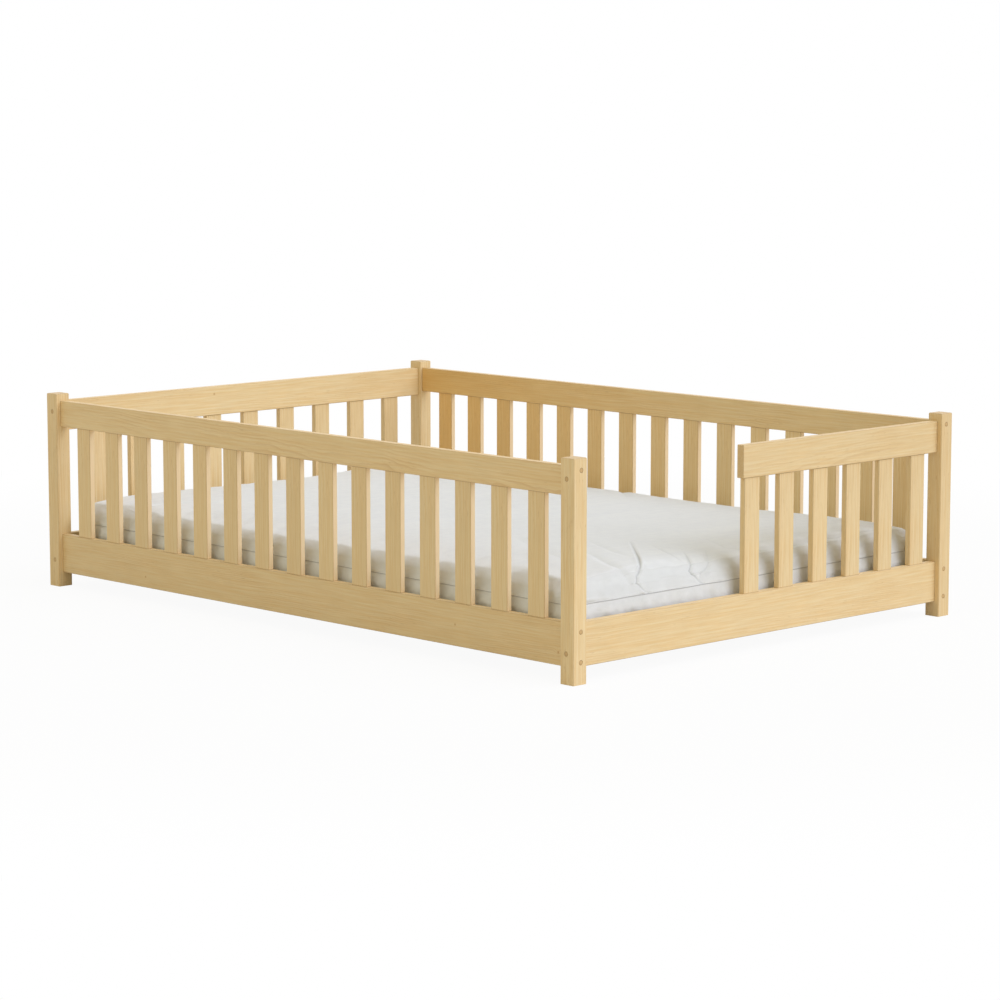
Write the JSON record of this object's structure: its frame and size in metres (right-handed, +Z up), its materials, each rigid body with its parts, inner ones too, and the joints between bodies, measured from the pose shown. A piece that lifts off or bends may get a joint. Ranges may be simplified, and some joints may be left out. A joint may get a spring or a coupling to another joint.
{
  "type": "toddler floor bed",
  "caption": "Low solid-wood floor bed with slatted guards all round, an open entrance beside a short gate at the foot end, and a lift-out mattress.",
  "frame": {"origin": "on the floor under the middle of the bed", "axes": "+X towards the foot end with the gate and the entrance, +Y towards the left side, which the gate stands on, +Z up"},
  "size_m": [2.08, 1.43, 0.545],
  "materials": {
    "pine": "clear-sealed solid pine, fine satin",
    "plug_wood": "pine cross-grain plugs, sanded flush",
    "base_wood": "planed pine, unsealed",
    "screw_steel": "zinc-plated",
    "webbing": "woven polyester tape",
    "mattress_cover": "knitted cotton cover, matt"
  },
  "bodies": {
    "bed_frame": {"base_slats": "base_wood", "centre_beam": "base_wood", "cover_plugs": "plug_wood", "foot_beam_rest": "base_wood", "foot_centre_leg": "base_wood", "foot_low_rail": "pine", "gate_slat_1": "pine", "gate_slat_2": "pine", "gate_slat_3": "pine", "gate_slat_4": "pine", "gate_slat_5": "pine", "gate_slat_6": "pine", "gate_top_rail": "pine", "head_beam_rest": "base_wood", "head_centre_leg": "base_wood", "head_low_rail": "pine", "head_slat_1": "pine", "head_slat_2": "pine", "head_slat_3": "pine", "head_slat_4": "pine", "head_slat_5": "pine", "head_slat_6": "pine", "head_slat_7": "pine", "head_slat_8": "pine", "head_slat_9": "pine", "head_top_rail": "pine", "left_base_strap": "webbing", "left_ledger": "base_wood", "left_low_rail": "pine", "left_slats": "pine", "left_top_rail": "pine", "post_foot_left": "pine", "post_foot_right": "pine", "post_head_left": "pine", "post_head_right": "pine", "post_screws": "screw_steel", "right_base_strap": "webbing", "right_ledger": "base_wood", "right_low_rail": "pine", "right_slat_01": "pine", "right_slat_02": "pine", "right_slat_03": "pine", "right_slat_04": "pine", "right_slat_05": "pine", "right_slat_06": "pine", "right_slat_07": "pine", "right_slat_08": "pine", "right_slat_09": "pine", "right_slat_10": "pine", "right_slat_11": "pine", "right_slat_12": "pine", "right_slat_13": "pine", "right_slat_14": "pine", "right_slat_15": "pine", "right_top_rail": "pine", "support_screws": "screw_steel"},
    "mattress_body": {"mattress": "mattress_cover"}
  },
  "joints": [
    {"name": "mattress_lift", "type": "slide", "parent": "bed_frame", "child": "mattress_body", "axis": [0, 0, 1], "range_m": [0, 0.45]}
  ]
}
